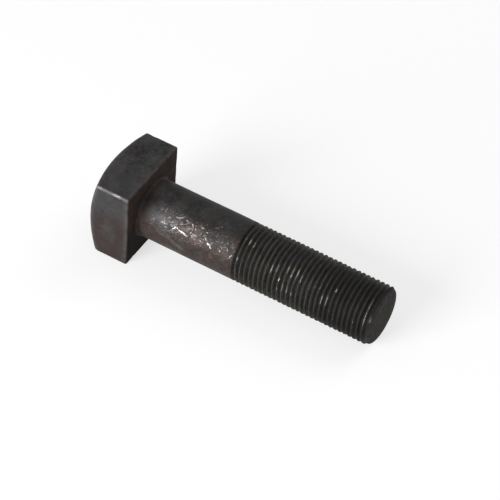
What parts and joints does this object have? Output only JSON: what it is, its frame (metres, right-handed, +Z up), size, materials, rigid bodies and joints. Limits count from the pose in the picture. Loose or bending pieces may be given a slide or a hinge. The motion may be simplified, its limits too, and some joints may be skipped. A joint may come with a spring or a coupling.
{
  "type": "spreader bolt",
  "caption": "Square-head bolt with a domed head, a plain shank and a long fine thread, in dark forged steel, lying on its side.",
  "frame": {"origin": "on the floor, under the middle of the bolt's box", "axes": "+X along the lying bolt from the head to the threaded end, +Z up; the bolt's own axis dips 3.2 degrees towards +X, as it rests on the head's edge and the thread's end"},
  "size_m": [0.0954, 0.0276, 0.0284],
  "materials": {
    "dark_steel": "black forging scale and oil, worn bright along the edges, with brown tinges"
  },
  "bodies": {
    "root": {"spreader_bolt": "dark_steel"}
  },
  "joints": []
}
